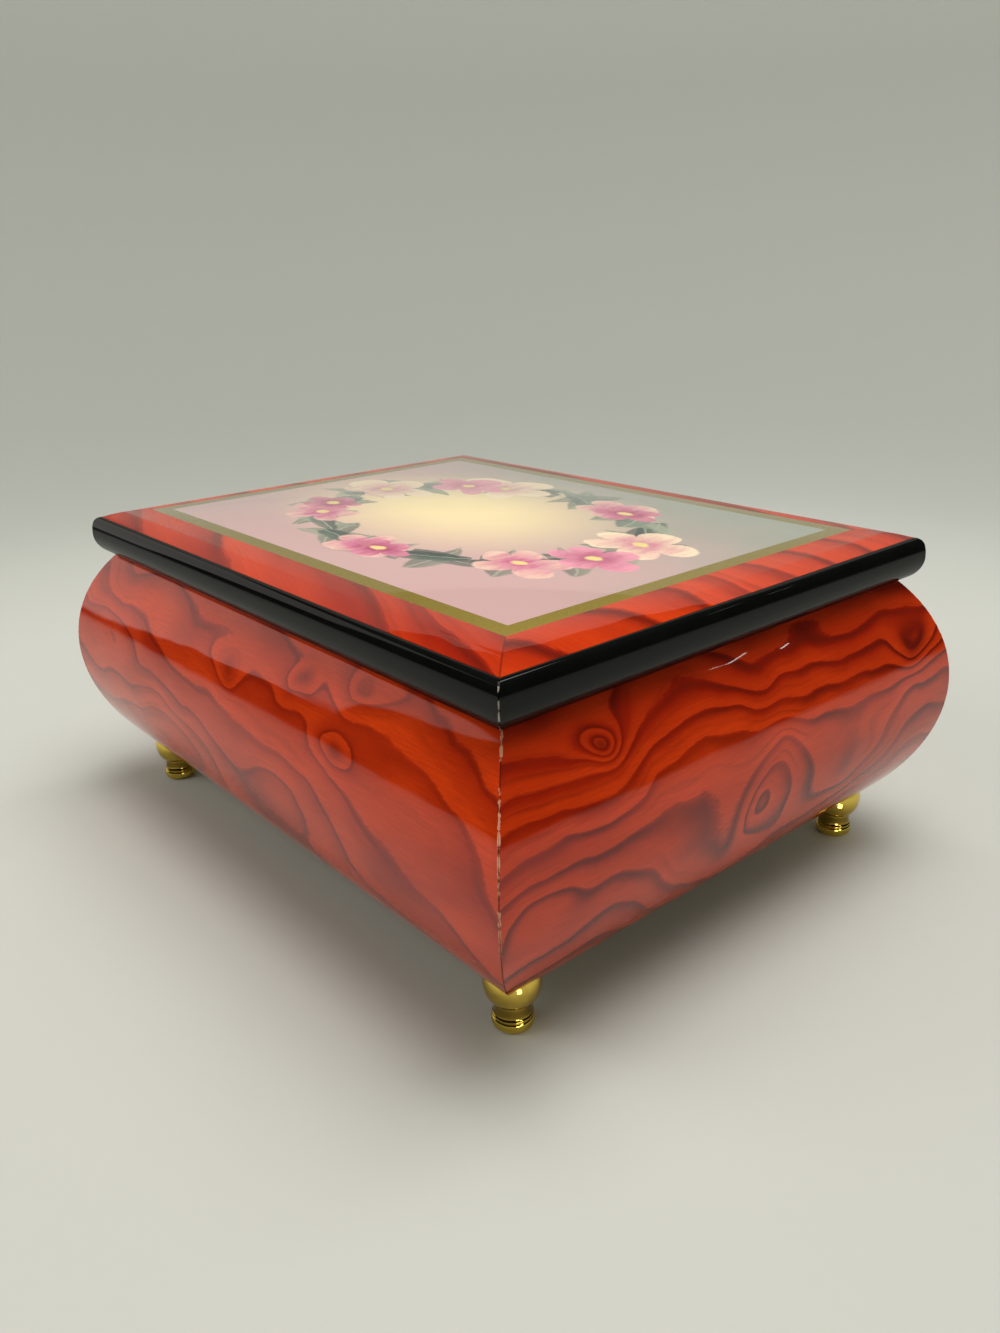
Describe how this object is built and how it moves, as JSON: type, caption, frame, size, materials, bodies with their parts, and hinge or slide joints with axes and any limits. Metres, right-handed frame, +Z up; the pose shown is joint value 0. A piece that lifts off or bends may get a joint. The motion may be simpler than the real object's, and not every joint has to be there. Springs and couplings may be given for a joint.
{
  "type": "jewelry music box",
  "caption": "Convex-sided lacquered jewelry box on turned brass feet, with a hinged framed lid, a lined well with ring rolls, and a wind-up comb movement under a clear cover.",
  "frame": {"origin": "on the floor, under the middle of the case", "axes": "+X to the right seen from the front, along the long side; +Y to the back, where the hinges are; +Z up"},
  "size_m": [0.1662, 0.1316, 0.0721],
  "materials": {
    "red_burl_lacquer": "figured veneer under clear gloss lacquer",
    "black_lacquer": "black gloss lacquer",
    "lid_print": "print with a gold border under lacquer",
    "brass": "polished brass",
    "velvet": "wine-red velvet",
    "plywood": "bare plywood",
    "clear_acrylic": "clear acrylic sheet",
    "steel": "ground steel",
    "cast_zinc": "die-cast zinc"
  },
  "bodies": {
    "case": {"front_panel": "red_burl_lacquer", "right_panel": "red_burl_lacquer", "back_panel": "red_burl_lacquer", "left_panel": "red_burl_lacquer", "base_board": "plywood", "foot_front_left": "brass", "foot_front_right": "brass", "foot_back_left": "brass", "foot_back_right": "brass", "left_hinge_case_leaf": "brass", "right_hinge_case_leaf": "brass", "left_hinge_pin": "brass", "right_hinge_pin": "brass", "lining_left": "velvet", "lining_right": "velvet", "lining_front": "velvet", "lining_back": "velvet", "divider": "velvet", "floor_lining": "velvet", "ring_roll_1": "velvet", "ring_roll_2": "velvet", "ring_roll_3": "velvet", "ring_roll_4": "velvet", "cover_cleat_left": "velvet", "cover_cleat_right": "velvet", "movement_cover": "clear_acrylic", "movement_bedplate": "cast_zinc", "comb": "steel", "spring_housing": "cast_zinc", "mainspring": "steel", "governor_bracket": "steel", "lever_pin": "steel"},
    "lid": {"lid_moulding_front": "black_lacquer", "lid_moulding_right": "black_lacquer", "lid_moulding_back": "black_lacquer", "lid_moulding_left": "black_lacquer", "lid_panel": "red_burl_lacquer", "lid_picture": "lid_print", "lid_lining": "velvet", "left_hinge_lid_leaf": "brass", "right_hinge_lid_leaf": "brass"},
    "winder": {"winding_key": "brass", "winding_arbor": "steel"},
    "crown": {"crown_wheel": "brass"},
    "cylinder": {"cylinder": "brass", "cylinder_axle": "steel", "cylinder_wheel": "brass"},
    "governor": {"governor_wheel": "brass"},
    "fan": {"governor_fan": "steel"},
    "lever": {"stop_lever": "steel"}
  },
  "joints": [
    {"name": "lid_hinge", "type": "hinge", "parent": "case", "child": "lid", "pos_m": [0, 0.0604, 0.0612], "axis": [-1, 0, 0], "range_deg": [0, 100]},
    {"name": "stop_lever_tilt", "type": "hinge", "parent": "case", "child": "lever", "pos_m": [-0.0587, 0.0144, 0.03925], "axis": [1, 0, 0], "range_deg": [0, 8]},
    {"name": "winding_key_turn", "type": "hinge", "parent": "case", "child": "winder", "pos_m": [-0.0466, -0.012, 0.0115], "axis": [0, 0, 1], "continuous": true},
    {"name": "cylinder_turn", "type": "hinge", "parent": "case", "child": "cylinder", "pos_m": [-0.0466, 0.0095, 0.02995], "axis": [0, 1, 0], "continuous": true},
    {"name": "crown_wheel_turn", "type": "hinge", "parent": "case", "child": "crown", "pos_m": [-0.0466, -0.012, 0.026], "axis": [0, 0, 1], "continuous": true},
    {"name": "governor_wheel_turn", "type": "hinge", "parent": "case", "child": "governor", "pos_m": [-0.05445, 0.0234, 0.02995], "axis": [0, 1, 0], "continuous": true},
    {"name": "governor_fan_turn", "type": "hinge", "parent": "case", "child": "fan", "pos_m": [-0.0601, 0.0244, 0.03], "axis": [0, 0, 1], "continuous": true}
  ],
  "couplings": [
    {"joint": "stop_lever_tilt", "follows": "lid_hinge", "ratio": 0.08},
    {"joint": "crown_wheel_turn", "follows": "cylinder_turn", "ratio": 0.33333},
    {"joint": "governor_wheel_turn", "follows": "cylinder_turn", "ratio": -4},
    {"joint": "governor_fan_turn", "follows": "cylinder_turn", "ratio": 48}
  ]
}
